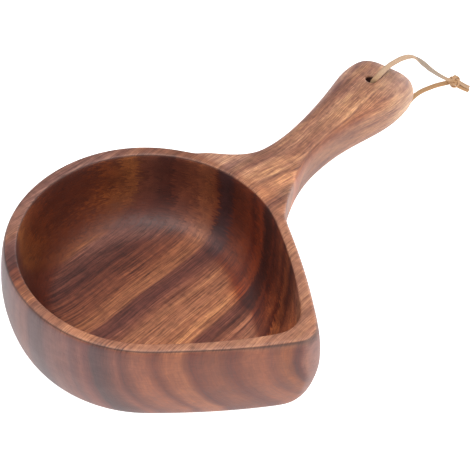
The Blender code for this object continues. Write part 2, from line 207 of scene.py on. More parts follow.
def softbox(name, place, aim, size, power):
    light = bpy.data.lights.new(name, "AREA")
    light.shape = "RECTANGLE"
    light.size, light.size_y = size
    light.energy = power
    item = bpy.data.objects.new(name, light)
    turn = (Vector(aim) - Vector(place)).to_track_quat("-Z", "Y").to_matrix().to_4x4()
    item.matrix_world = Matrix.Translation(place) @ turn
    bpy.context.scene.collection.objects.link(item)


def light_the_studio():
    world = bpy.data.worlds.new("studio")
    world.use_nodes = True
    world.node_tree.nodes["Background"].inputs["Color"].default_value = (1, 1, 1, 1)
    world.node_tree.nodes["Background"].inputs["Strength"].default_value = 0.2
    bpy.context.scene.world = world
    softbox("overhead_softbox", (0.12, -0.22, 0.95), (0.02, 0.03, 0.03), (0.9, 0.8), 12)
    softbox("left_softbox", (-0.85, -0.45, 0.14), (0.0, 0.0, 0.03), (0.7, 0.26), 3)
    softbox("right_softbox", (0.90, 0.20, 0.14), (0.02, 0.1, 0.03), (0.7, 0.26), 4)
    softbox("back_softbox", (0.10, 1.15, 0.28), (0.02, 0.1, 0.03), (0.8, 0.3), 5)
    bm = bmesh.new()
    bmesh.ops.create_grid(bm, x_segments=1, y_segments=1, size=3)
    floor = finished("floor", bm, light_table())


def light_table():
    """A white table lit from below, so that hardly a shadow falls on it."""
    table = Finish("lit_white_table")
    table.shader("Base Color", (0.45, 0.45, 0.45, 1))
    table.shader("Roughness", 0.9)
    table.shader("Specular IOR Level", 0.0)
    table.shader("Emission Color", (1, 1, 1, 1))
    table.shader("Emission Strength", 1.2)
    return table.material


# Making pieces and materials

BUMP_DEPTH = 0.0002


def finished(name, bm, material):
    """An object at the origin made from a bmesh, with smooth shading."""
    mesh = bpy.data.meshes.new(name)
    bm.to_mesh(mesh)
    bm.free()
    mesh.shade_smooth()
    mesh.materials.append(material)
    item = bpy.data.objects.new(name, mesh)
    bpy.context.scene.collection.objects.link(item)
    return item


def srgb(red, green, blue):
    """A colour given as it shows on a screen, with parts from 11 to 255."""
    return tuple(((c / 255 + 0.055) / 1.055) ** 2.4 for c in (red, green, blue))


class Finish:
    """A material's nodes, added one at a time and joined to the shader."""

    def __init__(self, name):
        self.material = bpy.data.materials.new(name)
        self.material.use_nodes = True
        self.tree = self.material.node_tree
        self.principled = self.tree.nodes["Principled BSDF"]

    def add(self, kind, inputs=(), output=0, **settings):
        """A node with its settings and inputs; gives the chosen output."""
        node = self.tree.nodes.new("ShaderNode" + kind)
        for key, value in settings.items():
            setattr(node, key, value)
        for key, value in dict(inputs).items():
            self.put(node.inputs[key], value)
        return node.outputs[output]

    def put(self, socket, value):
        if isinstance(value, bpy.types.NodeSocket):
            self.tree.links.new(value, socket)
        else:
            socket.default_value = value

    def shader(self, name, value):
        self.put(self.principled.inputs[name], value)

    def mark(self, name):
        """A number that the mesh carries at each of its points."""
        return self.add("Attribute", output=2, attribute_name=name)

    def millimetres(self):
        """The place on the object, in millimetres."""
        return self.stretch(self.add("TexCoord", output=3), (1000, 1000, 1000))

    def split(self, vector):
        """A vector's three parts."""
        node = self.tree.nodes.new("ShaderNodeSeparateXYZ")
        self.put(node.inputs[0], vector)
        return node.outputs

    def bump(self, height, strength):
        """Lays a fine relief on the surface."""
        normal = self.add("Bump", {"Height": height, "Strength": strength, "Distance": BUMP_DEPTH})
        self.shader("Normal", normal)

    def maths(self, operation, a, b=0.0, c=0.0, clamp=False):
        return self.add("Math", {0: a, 1: b, 2: c}, operation=operation, use_clamp=clamp)

    def faded(self, value, mark, by):
        """A value that is less by a share where a mark is set."""
        return self.maths("MULTIPLY", value, self.maths("MULTIPLY_ADD", mark, -by, 1.0))

    def blend(self, share, a, b):
        """A number between two others."""
        return self.add("Mix", {0: share, 2: a, 3: b}, data_type="FLOAT")

    def noise(self, place, scale, detail, roughness):
        return self.add("TexNoise", {"Vector": place, "Scale": scale, "Detail": detail,
                                     "Roughness": roughness})

    def stretch(self, place, scale):
        """Coordinates scaled by a different amount along each axis."""
        return self.add("VectorMath", {0: place, 1: scale}, operation="MULTIPLY")

    def ramp(self, value, stops):
        """A colour ramp; each stop is a place from 0 to 1 and a colour or a grey."""
        node = self.tree.nodes.new("ShaderNodeValToRGB")
        band = node.color_ramp.elements
        band.remove(band[1])
        for i, (place, colour) in enumerate(stops):
            element = band.new(place) if i else band[0]
            element.position = place
            element.color = (*colour, 1) if hasattr(colour, "__len__") else (colour, colour, colour, 1)
        self.put(node.inputs[0], value)
        return node.outputs[0]

    def level(self, value, low, high, to_low=0.0, to_high=1.0, smooth=True):
        """A value between two limits, brought to another range."""
        return self.add("MapRange", {"Value": value, "From Min": low, "From Max": high,
                                     "To Min": to_low, "To Max": to_high},
                        interpolation_type="SMOOTHSTEP" if smooth else "LINEAR")

    def mix(self, share, a, b, blend="MIX"):
        """A colour between two others, or one laid over the other."""
        node = self.tree.nodes.new("ShaderNodeMix")
        node.data_type = "RGBA"
        node.blend_type = blend
        self.put(node.inputs["Factor"], share)
        self.put(node.inputs[6], a)
        self.put(node.inputs[7], b)
        return node.outputs[2]


# The carved body

def stand_out(step):
    """How much farther out cage points lie than the arc that they smooth down to."""
    return 3 / (2 + math.cos(step))


def flank(start, end):
    """The points that divide a flank, which bows outwards a little between its ends."""
    outwards = (end - start).cross(Vector((0, 0, 1))).normalized()
    shares = [i / FLANK_STEPS for i in range(1, FLANK_STEPS)]
    return [start.lerp(end, s) + outwards * (4 * FLANK_BOW * s * (1 - s)) for s in shares]


def teardrop(radius, reach, lip_radius, centre_x, z):
    """A circle and its two flanks to a smaller circle, the lip's tip, which lies on the +X side."""
    lip_centre = reach - centre_x - lip_radius
    ends = math.acos((radius - lip_radius) / lip_centre)
    step = (2 * math.pi - 2 * ends) / ROUND_STEPS
    far = radius * stand_out(step)
    turns = [ends + step * i for i in range(ROUND_STEPS + 1)]
    round_part = [Vector((far * math.cos(a), far * math.sin(a), 0)) for a in turns]
    turns = [-ends + 2 * ends * i / LIP_STEPS for i in range(LIP_STEPS + 1)]
    lip = [Vector((lip_centre + lip_radius * math.cos(a), lip_radius * math.sin(a), 0)) for a in turns]
    outline = round_part + flank(round_part[-1], lip[0]) + lip + flank(lip[-1], round_part[0])
    return [point + Vector((centre_x, 0, z)) for point in outline]


def outer_outline(z, inset=0):
    """The wall's outline at a height, wider than the rim where it bulges and drawn in at the base."""
    drop = max(0, 1 - z / BASE_ROUND_HEIGHT)
    rounding = 1 - math.sqrt(1 - drop * drop)
    rise = max(0, (z - BASE_ROUND_HEIGHT) / (BOWL_HEIGHT - BASE_ROUND_HEIGHT))
    bulge = 1 - rise * rise
    round_inset = BASE_ROUND_WIDTH * rounding - WALL_BULGE * bulge + inset
    lip_inset = LIP_BASE_ROUND_WIDTH * rounding - LIP_BULGE * bulge + inset
    outline = teardrop(OUTER_RADIUS - round_inset, OUTER_LIP_REACH - lip_inset, OUTER_LIP_RADIUS,
                       OUTER_SHIFT_X, z)
    return [swollen(point) for point in outline]


def swollen(point):
    """The wall is a little thicker on the far side, to the left of the handle."""
    from_middle = math.degrees(math.atan2(point.y, point.x)) - FAR_SWELL_MIDDLE
    if abs(from_middle) > FAR_SWELL_SPREAD:
        return point
    swell = FAR_SWELL * math.cos(math.radians(from_middle * 90 / FAR_SWELL_SPREAD)) ** 2
    return point + Vector((point.x, point.y, 0)).normalized() * swell


def inner_outline(z, round_inset, lip_inset):
    return teardrop(INNER_RADIUS - round_inset, INNER_LIP_REACH - lip_inset, INNER_LIP_RADIUS, 0, z)


def wall_outlines():
    """Outlines from the flat base over the rim and down to the floor, and where the rim's are."""
    outlines = [outer_outline(0, FLAT_BORDER)]
    outlines += [outer_outline(UNDERSIDE * s) for s in WALL_SHARES]
    outlines += [outer_outline(z) for z in ROOT_HEIGHTS[:-1]]
    outlines.append(outer_outline(BOWL_HEIGHT, RIM_EASE))
    rim = len(outlines) - 1
    straight = CAVITY_DEPTH - FLOOR_ROUND_HEIGHT
    inside = [inner_outline(BOWL_HEIGHT, -RIM_EASE, -RIM_EASE),
              inner_outline(BOWL_HEIGHT - RIM_EASE, 0, 0),
              inner_outline(BOWL_HEIGHT - straight / 2, 0, 0)]
    for turn in FLOOR_TURNS:
        share = 1 - math.cos(turn)
        inside.append(inner_outline(BOWL_HEIGHT - straight - FLOOR_ROUND_HEIGHT * math.sin(turn),
                                    FLOOR_ROUND_WIDTH * share, LIP_FLOOR_ROUND_WIDTH * share))
    inside.append(inner_outline(BOWL_HEIGHT - CAVITY_DEPTH - FLOOR_DISH,
                                FLOOR_DISH_INSET * INNER_RADIUS, FLOOR_DISH_INSET * INNER_LIP_REACH))
    middle = [a.lerp(b, 0.5) for a, b in zip(outlines[-1], inside[0])]
    return outlines + [middle] + inside, rim


def extruded(bm, ring):
    """A new ring extruded from a closed ring of points, in the same order."""
    edges = [bm.edges.get((a, b)) for a, b in zip(ring, ring[1:] + ring[:1])]
    made = set(bmesh.ops.extrude_edge_only(bm, edges=edges)["geom"])
    return [next(e.other_vert(v) for e in v.link_edges if e.other_vert(v) in made) for v in ring]


def moved(ring, points):
    """A ring whose points have been set to the places given."""
    for vert, point in zip(ring, points):
        vert.co = point
    return ring


def handle_middle(y):
    return HANDLE_OFFSET_X + (y - WAIST_Y) * math.tan(HANDLE_LEAN)


def half_width(y, flare, power, side):
    """From the handle's middle to one side; the left side widens more evenly than the lip's side."""
    if y < WAIST_Y:
        return WAIST_HALF_WIDTH + flare * ((WAIST_Y - y) / WAIST_FROM_WALL) ** power
    share = min((y - WAIST_Y) / (CLOSING_Y - WAIST_Y), 1)
    eased = share ** WIDENING_LIP_POWER
    widening = share ** WIDENING_BACK_POWER if side < 0 else eased * eased * (3 - 2 * eased)
    return WAIST_HALF_WIDTH + (END_HALF_WIDTH - WAIST_HALF_WIDTH) * widening


def along_handle(y):
    """0 at the wall and 1 where the end starts to close."""
    return min(max((y - OUTER_RADIUS) / (CLOSING_Y - OUTER_RADIUS), 0), 1)


def thickness(y):
    near_wall = max(0, 1 - (y - OUTER_RADIUS) / DEEPENED_LENGTH)
    grip = GRIP_THICKNESS + (END_THICKNESS - GRIP_THICKNESS) * along_handle(y)
    return grip + (ROOT_THICKNESS - GRIP_THICKNESS) * near_wall * near_wall


def handle_section(y_back, y_lip, bow):
    """A rounded rectangle across the handle, whose two sides may stand at different distances."""
    sides = ((y_back, FLARE_BACK, FLARE_BACK_POWER, -1), (y_lip, FLARE_LIP, FLARE_LIP_POWER, 1))
    corners = []
    for y, flare, power, side in sides:
        closing = min(max((y - CLOSING_Y) / END_CLOSING, 0), 1)
        half = half_width(y, flare, power, side) * (1 - closing ** END_SQUARENESS) ** (1 / END_SQUARENESS)
        corners.append(Vector((handle_middle(y) + side * half, y, 0)))
    back, lip = corners
    y = (y_back + y_lip) / 2
    half = thickness(y) / 2
    middle_z = BOWL_HEIGHT - half
    radius = min(ROOT_EDGE_RADIUS + (END_EDGE_RADIUS - ROOT_EDGE_RADIUS) * along_handle(y), half)
    into_end = max(0, y - (HANDLE_END - radius))
    half += math.sqrt(max(radius * radius - into_end * into_end, 0)) - radius
    width = (lip - back).length
    radius = min(radius, half, WIDEST_EDGE_SHARE * width)
    return rounded_section(back, lip, middle_z, half, radius, bow)


def rounded_section(back, lip, middle_z, half, radius, bow):
    """The section's points: along its top, down the lip's side, along its underside and up the back."""
    width = (lip - back).length
    across = ROOT_LAST - ROOT_FIRST
    far = radius * stand_out(CORNER_ANGLES[0] - CORNER_ANGLES[1])
    top = [(radius + (width - 2 * radius) * i / across, half) for i in range(across + 1)]
    side = []
    for angle in CORNER_ANGLES[1:-1]:
        centre = half - radius if angle > 0 else radius - half
        side.append((far * math.cos(angle) - radius, centre + far * math.sin(angle)))
    outline = top + [(width + out, z) for out, z in side]
    outline += [(x, -half) for x, z in reversed(top)] + [(-out, z) for out, z in reversed(side)]
    points = []
    for distance, z in outline:
        share = distance / width
        bowed = bow * max(0, 1 - (2 * share - 1) ** 2)
        points.append(back.lerp(lip, share) + Vector((0, bowed, middle_z + z)))
    return points


def handle_sections():
    """Sections from the wall to the handle's end, which closes to a small flat cap."""
    sections = []
    for i in range(ROOT_SECTIONS + 1):
        fade = (1 - i / ROOT_SECTIONS) ** 2
        y = ROOT_START_Y + (ROOT_STRAIGHT_Y - ROOT_START_Y) * i / ROOT_SECTIONS
        sections.append(handle_section(y, y - ROOT_SKEW * fade, ROOT_BOW * fade))
    for i in range(1, GRIP_SECTIONS + 1):
        y = ROOT_STRAIGHT_Y + (CLOSING_Y - ROOT_STRAIGHT_Y) * i / GRIP_SECTIONS
        sections.append(handle_section(y, y, 0))
    for share in CLOSING_SHARES:
        y = CLOSING_Y + END_CLOSING * share
        sections.append(handle_section(y, y, 0))
    centre = sum(sections[-1], Vector()) / len(sections[-1])
    tip = [centre.lerp(point, END_CAP_SHARE) for point in sections[-1]]
    sections.append([Vector((p.x, HANDLE_END, p.z)) for p in tip])
    return sections


def bowl_cage():
    """The bowl's wall drawn up ring by ring from its base, with the handle drawn out of its side."""
    bm = bmesh.new()
    outlines, rim = wall_outlines()
    base = bmesh.ops.create_circle(bm, cap_ends=True, segments=len(outlines[0]), radius=1)["verts"]
    rings = [moved(base, outlines[0])]
    for outline in outlines[1:]:
        rings.append(moved(extruded(bm, rings[-1]), outline))
    bmesh.ops.contextual_create(bm, geom=rings[-1])
    foot = rim - (len(ROOT_HEIGHTS) - 1)
    patch = {v for ring in rings[foot:rim + 1] for v in ring[ROOT_FIRST:ROOT_LAST + 1]}
    bmesh.ops.delete(bm, geom=[f for f in bm.faces if patch.issuperset(f.verts)], context="FACES_ONLY")
    columns = list(range(ROOT_LAST, ROOT_FIRST - 1, -1))
    root = [rings[rim][c] for c in columns]
    root += [rings[row][ROOT_FIRST] for row in range(rim - 1, foot, -1)]
    root += [rings[foot][c] for c in reversed(columns)]
    root += [rings[row][ROOT_LAST] for row in range(foot + 1, rim)]
    section = root
    for points in handle_sections():
        section = moved(extruded(bm, section), points)
    bmesh.ops.contextual_create(bm, geom=section)
    bmesh.ops.delete(bm, geom=[e for e in bm.edges if not e.link_faces], context="EDGES")
    bmesh.ops.recalc_face_normals(bm, faces=bm.faces)
    return bm


def hole_drill():
    """The turned shape that the hanging hole leaves, flared at both faces of the handle."""
    half = [(DRILL_CORE, DRILL_OVERRUN), (HOLE_RADIUS + HOLE_EASE + DRILL_OVERRUN, DRILL_OVERRUN)]
    half += [(HOLE_RADIUS + out * HOLE_EASE, up * HOLE_EASE) for out, up in HOLE_EDGE]
    under = BOWL_HEIGHT - thickness(HOLE_Y)
    profile = [(r, BOWL_HEIGHT + z) for r, z in half] + [(r, under - z) for r, z in reversed(half)]
    bm = bmesh.new()
    x = handle_middle(HOLE_Y)
    verts = [bm.verts.new((x + r, HOLE_Y, z)) for r, z in profile]
    edges = [bm.edges.new(pair) for pair in zip(verts, verts[1:])]
    bmesh.ops.spin(bm, geom=verts + edges, cent=(x, HOLE_Y, 0), axis=(0, 0, 1), angle=2 * math.pi,
                   steps=HOLE_SIDES, use_merge=True)
    bmesh.ops.holes_fill(bm, edges=bm.edges)
    bmesh.ops.recalc_face_normals(bm, faces=bm.faces)
    return finished("hole_drill", bm, None)


def carve_bowl():
    wood = acacia()
    body = finished("carved_bowl", bowl_cage(), wood)
    smoothing = body.modifiers.new("smoothed", "SUBSURF")
    smoothing.levels = smoothing.render_levels = SMOOTHING
    drill = hole_drill()
    cut = body.modifiers.new("hanging hole", "BOOLEAN")
    cut.operation = "DIFFERENCE"
    cut.solver = "EXACT"
    cut.object = drill
    bpy.context.view_layer.update()
    carved = bpy.data.meshes.new_from_object(body.evaluated_get(bpy.context.evaluated_depsgraph_get()))
    body.modifiers.clear()
    body.data = carved
    bpy.data.objects.remove(drill)
    mark_surfaces(carved)
    return body


def mark_surfaces(mesh):
    """Marks that the finish reads, set from each point's place, in millimetres, and its normal.

    They say where the walls, the rim and the handle's faces lie, where the wood is oiled or worn, and
    where sheen and shade are painted.
    """
    count = len(mesh.vertices)
    places, normals = np.empty(count * 3), np.empty(count * 3)
    mesh.vertices.foreach_get("co", places)
    mesh.vertex_normals.foreach_get("vector", normals)
    x, y, z = places.reshape(-1, 3).T * 1000
    across, along, up = normals.reshape(-1, 3).T

    def rise(values, low, high):
        share = np.clip((values - low) / (high - low), 0, 1)
        return share * share * (3 - 2 * share)

    # Rim, inner side, handle and outer side
    from_centre = np.hypot(x, y)
    outwards = x * across + y * along
    tilt = 1 - up
    facing_up = up - 0.22 * rise(-y, 15, 45) * (outwards > 0)
    top = rise(facing_up, 0.2, 0.6) * rise(z, 44, 48)
    in_mouth = from_centre < 61.5
    in_lip = (x > 40) & (from_centre < 92) & (outwards < 0)
    inner = (in_mouth | in_lip) & (z > 9) & (y < 75)
    handle = rise(y, 59, 66) * (1 - inner)
    outer = (1 - inner) * rise(tilt, 0.10, 0.75) * (1 - top) * (1 - rise(y, 85, 110))

    # How worn the rim is on each side, and a painted sheen on its left part
    near_rim = 0.5 * rise(-y, 45, 60) * rise(x, -35, -5)
    right_rim = 0.75 * rise(x, 15, 48)
    left_rim = 0.35 * np.maximum(rise(y, -10, 20), rise(-x, 48, 58))
    painted_left_rim_sheen = 0.45 * top * rise(-x, 30, 55) * (1 - handle)

    # Painted shade: a dark line along the rim's eased edges, and darkness inside the hanging hole
    arris = (z > 46) * rise(facing_up, 0.25, 0.45) * (1 - rise(facing_up, 0.55, 0.75))
    arris = arris * np.where(inner, 0.8 * rise(-x - y, -75, -55), rise(-y, -20, 5))
    from_hole = np.hypot(x - 1000 * handle_middle(HOLE_Y), y - 1000 * HOLE_Y)
    hole_shade = (from_hole < 3.7) * (1 - rise(z, 48.6, 49.8))

    # The inner wall, the floor's turn up into it, and a thin line at its foot, where a pale sheen is
    # painted
    inside = inner * (1 - top) * (1 - 0.7 * rise(x, 58, 70))
    on_wall = rise(tilt, 0.01, 0.45)
    turning_up = rise(tilt / (0.013 + 0.05 * rise(x, 38, 46)), 0.06, 1)
    cavity = in_mouth * (z > 9) * (z < 40) * (up > -0.5)
    foot_line = cavity * rise(z, 10.8, 11.3) * (1 - rise(z, 11.7, 12.8))
    marks = {
        "inner_wall": inside * on_wall,
        "inner_oil": inside * np.maximum(on_wall, 0.9 * turning_up * rise(x, -2, 10)),
        "outer_wall": outer,
        "worn_rim": top * np.maximum(np.maximum(near_rim, right_rim), left_rim) * (1 - handle),
        "handle": handle,
        "handle_side": rise(y, 72, 85) * rise(across, 0.25, 0.75) * (1 - rise(y, 135, 165)),
        # Painted sheen: a paler grey haze towards the handle's end
        "painted_end_sheen": rise(y, 160, 192) * rise(x, 6, 26),
        "painted_edge_shade": np.maximum(0.8 * arris, hole_shade),
        "dark_foot": cavity * rise(28 - z, 0, 12) * rise(z, 11.5, 13.6) * rise(-x, 22, 38),
        # Painted sheen: a pale pinkish line round the floor's foot on the left
        "painted_foot_sheen": foot_line * rise(-x, 15, 30) * rise(y, -14, 10),
        "floor_turn": cavity * rise(tilt, 0.02, 0.15) * (1 - rise(tilt, 0.5, 0.8)) * (1 - rise(x, 35, 50)),
        "lip_inside": inner * (1 - top) * rise(x, 62, 70) * (1 - rise(z, 34, 42)),
        # Painted sheen: a paler grey-pink edge on the lip's outside, where it faces +X
        "painted_lip_sheen": outer * rise(across, 0.80, 0.97) * rise(x, 76, 88),
        "handle_flank": rise(y, 78, 94) * rise(across, 0.3, 0.7),
        # Painted reflection: a cool grey sheen on the outer wall's left part and on the rim's left part
        "painted_cool_sheen": np.maximum(0.58 * outer * (1 - rise(x, 0, 50)), painted_left_rim_sheen),
    }
    for name, values in marks.items():
        mesh.attributes.new(name, "FLOAT", "POINT").data.foreach_set("value", values.astype(np.float32))


# The wood

# Colours of the growth bands by their distance across the grain, in millimetres from the bowl's middle
LEFT_BANDS = [(-78, (0.130, 0.030, 0.008)), (-60, (0.140, 0.030, 0.007)), (-55, (0.190, 0.048, 0.011)),
              (-50, (0.245, 0.076, 0.022)), (-47, (0.230, 0.068, 0.020)), (-45.5, (0.128, 0.034, 0.017)),
              (-41, (0.118, 0.032, 0.019)), (-38, (0.080, 0.020, 0.013)), (-35, (0.070, 0.016, 0.010)),
              (-32, (0.094, 0.021, 0.011)), (-24, (0.148, 0.038, 0.017)), (-20, (0.190, 0.054, 0.023)),
              (-16.5, (0.230, 0.074, 0.031)), (-12.3, (0.222, 0.071, 0.032)),
              (-10.8, (0.118, 0.032, 0.020)), (-7, (0.108, 0.029, 0.020)), (-3.5, (0.145, 0.041, 0.025)),
              (-1, (0.235, 0.076, 0.038)), (1.5, (0.255, 0.088, 0.042)), (5, (0.263, 0.090, 0.043))]
RIGHT_BANDS = [(5, (0.263, 0.090, 0.043)), (9.5, (0.375, 0.145, 0.068)), (12, (0.270, 0.090, 0.042)),
               (17, (0.400, 0.152, 0.066)), (20, (0.350, 0.124, 0.054)), (21.7, (0.145, 0.041, 0.024)),
               (24, (0.115, 0.031, 0.021)), (28, (0.160, 0.048, 0.025)), (31, (0.265, 0.090, 0.048)),
               (33.3, (0.205, 0.066, 0.038)), (37, (0.310, 0.120, 0.064)), (41.5, (0.330, 0.130, 0.070)),
               (44.5, (0.225, 0.075, 0.043)), (47.5, (0.360, 0.148, 0.076)), (51.5, (0.375, 0.158, 0.080)),
               (55, (0.185, 0.056, 0.034)), (58, (0.225, 0.080, 0.046)), (63, (0.270, 0.104, 0.056)),
               (67.5, (0.205, 0.068, 0.043)), (72, (0.290, 0.112, 0.060)), (76.5, (0.255, 0.085, 0.040)),
               (78.8, (0.190, 0.062, 0.036)), (80.5, (0.215, 0.072, 0.036)), (82.5, (0.270, 0.092, 0.036)),
               (84.2, (0.250, 0.082, 0.032)), (85.6, (0.130, 0.038, 0.026)), (86.8, (0.140, 0.040, 0.028)),
               (88.5, (0.270, 0.120, 0.085))]
HANDLE_BANDS = [(-30, (0.285, 0.130, 0.093)), (-13, (0.340, 0.160, 0.109)), (-9.5, (0.215, 0.093, 0.073)),
                (-6.6, (0.270, 0.118, 0.073)), (-4.2, (0.228, 0.088, 0.057)), (-1, (0.324, 0.142, 0.089)),
                (1, (0.354, 0.160, 0.094)), (3, (0.290, 0.120, 0.069)), (6, (0.330, 0.137, 0.077)),
                (8.7, (0.352, 0.154, 0.089)), (10.5, (0.254, 0.098, 0.056)), (13, (0.326, 0.130, 0.071)),
                (17, (0.326, 0.130, 0.073)), (21, (0.229, 0.096, 0.059)), (30, (0.224, 0.092, 0.056))]

# How much more oil the inner and the outer walls take, by the same distance
OIL_INSIDE = [(at, (oil, oil, oil)) for at, oil in (
    (-62, 0.30), (-54, 0.14), (-48, 0.06), (-30, 0.0), (-20, 0.05), (-13, 0.25), (-11, 0.60), (-5, 0.55),
    (2, 0.72), (6, 0.76), (10, 0.98), (19, 0.98), (22, 0.60), (28, 0.66), (34, 0.92), (38, 0.88),
    (42, 0.72), (44, 0.78), (45.8, 1.05), (48, 0.74), (58, 0.70), (63, 0.55), (66, 0.25), (72, 0.1))]
OIL_OUTSIDE = [(at, (oil, oil, oil)) for at, oil in (
    (-50, 0.3), (-30, 0.2), (-15, 0.15), (-11, 0.3), (-8, 0.65), (-3, 0.75), (0, 0.45), (4, 0.25),
    (9, 0.65), (16, 0.75), (19.5, 1.15), (21, 0.9), (24, 0.35), (28, 0.25), (34, 0.38), (70, 0.38),
    (76, 0.2), (90, 0.2))]

# How much paler or darker the streaks at the handle's root are, by the same distance, green most of all
ROOT_STREAKS = [(at, (shade, shade ** 1.15, shade)) for at, shade in (
    (-18, 1.05), (-14, 1.20), (-11, 1.05), (-9, 0.88), (-5.5, 0.80), (-3, 1.08), (-1, 1.32), (1.5, 1.24),
    (4, 1.1), (7.8, 1.08), (8.7, 0.74), (9.5, 0.68), (10.6, 1.05), (12.5, 1.36), (14.5, 1.50), (17, 1.44),
    (18.6, 1.12), (19.5, 0.78), (20.5, 0.92), (25, 0.95), (28, 1.35), (32, 1.3))]

# Wear, other tones and painted sheens laid over the growth bands: the mark, how strong it is and its
# colour
TONES_AND_PAINTED_SHEENS = [("worn_rim", 1.0, (0.345, 0.148, 0.083)), ("painted_cool_sheen", 1.0, (0.150, 0.090, 0.090)),
          ("dark_foot", 0.75, (0.085, 0.010, 0.001)), ("painted_foot_sheen", 0.5, (0.170, 0.065, 0.048)),
          ("lip_inside", 0.7, (0.420, 0.115, 0.045)), ("painted_lip_sheen", 0.85, (0.200, 0.090, 0.070))]
HANDLE_TONES_AND_SHEEN = [("handle_flank", 0.35, (0.330, 0.145, 0.080)), ("painted_end_sheen", 0.7, (0.460, 0.270, 0.180))]
BLUE_BLACK = (0.050, 0.021, 0.025, 1)
EDGE_SHADE = (0.030, 0.008, 0.006, 1)
PORE_SHADE = (0.35, 0.28, 0.26, 1)


def banded(wood, across, stops):
    """Colours or greys that are given by their distance across the grain."""
    low, high = stops[0][0], stops[-1][0]
    place = wood.level(across, low, high, smooth=False)
    return wood.ramp(place, [((at - low) / (high - low), colour) for at, colour in stops])


def overlaid(wood, tone, overlays):
    """A tone with wear, other tones and painted sheens laid over it where their marks are set."""
    for name, strength, colour in overlays:
        tone = wood.mix(wood.maths("MULTIPLY", wood.mark(name), strength), tone, (*colour, 1))
    return tone


def distance_across(wood, place, rays):
    """Distance across the growth bands, whose sheets stand upright and turn under towards the lip."""
    x, y, z = wood.split(place)

    # They lean along the bowl, bend where the handle begins and lean back along it
    lean = wood.maths("ADD", wood.level(y, 0.0, 60.0, 0.0, 2.8, smooth=False),
                      wood.maths("MULTIPLY", wood.maths("MINIMUM", y, 60.0), 0.05))
    lean = wood.maths("ADD", lean, wood.level(y, 52.0, 104.0, 0.0, 7.7))
    lean = wood.maths("SUBTRACT", lean, wood.level(y, 110.0, 200.0, 0.0, 2.0, smooth=False))

    # They turn under with the depth below the rim, in their own way on the near outer wall
    below = wood.maths("DIVIDE", wood.maths("SUBTRACT", 50.0, z), 40.0, clamp=True)
    outside = wood.maths("MULTIPLY", wood.maths("POWER", below, 1.5),
                         wood.level(x, -20.0, 75.0, 0.5, 18.5, smooth=False))
    inside = wood.maths("MULTIPLY", wood.maths("POWER", below, 1.8),
                        wood.level(x, -38.0, 38.0, 0.8, 13.6, smooth=False))
    turn_under = wood.blend(wood.level(y, -62.0, -25.0), outside, inside)
    across = wood.maths("SUBTRACT", wood.maths("SUBTRACT", x, lean), turn_under)

    # They waver, are jagged on the inner wall, and lie flat on the handle's flank
    waver = wood.noise(wood.stretch(place, (0.05, 0.012, 0.04)), 1.0, 3.0, 0.5)
    across = wood.maths("MULTIPLY_ADD", wood.maths("SUBTRACT", waver, 0.5), 3.5, across)
    jagged = wood.maths("MULTIPLY_ADD", wood.mark("inner_wall"), 10.5, 0.4)
    across = wood.maths("MULTIPLY_ADD", wood.maths("SUBTRACT", rays, 0.5), jagged, across)
    return wood.blend(wood.mark("handle_flank"), across, wood.maths("SUBTRACT", 64.0, z))


def banded_tone(wood, across):
    """Broad bands: oil soaks deeper into the walls, while the rim and the handle are sanded lighter, and
    painted sheens lie over them.
    """
    left, right = banded(wood, across, LEFT_BANDS), banded(wood, across, RIGHT_BANDS)
    meeting = RIGHT_BANDS[0][0]
    tone = wood.mix(wood.level(across, meeting - 0.5, meeting + 0.5), left, right)
    inner_oil = wood.mark("inner_oil")
    gamma = wood.maths("MULTIPLY_ADD", inner_oil, banded(wood, across, OIL_INSIDE), 1.0)
    gamma = wood.maths("MULTIPLY_ADD", wood.mark("outer_wall"), banded(wood, across, OIL_OUTSIDE), gamma)
    tone = wood.add("Gamma", {"Color": tone, "Gamma": gamma})
    stripe = wood.maths("MULTIPLY", wood.level(across, -12.0, -9.0),
                        wood.level(across, -4.5, -1.5, 0.4, 0.0))
    tone = wood.mix(wood.maths("MULTIPLY", inner_oil, stripe), tone, BLUE_BLACK)
    tone = overlaid(wood, tone, TONES_AND_PAINTED_SHEENS)
    side_gamma = wood.maths("MULTIPLY_ADD", wood.mark("handle_side"), 0.38, 1.0)
    sanded = wood.add("Gamma", {"Color": banded(wood, across, HANDLE_BANDS), "Gamma": side_gamma})
    sanded = overlaid(wood, sanded, HANDLE_TONES_AND_SHEEN)
    return wood.mix(wood.mark("handle"), tone, sanded)


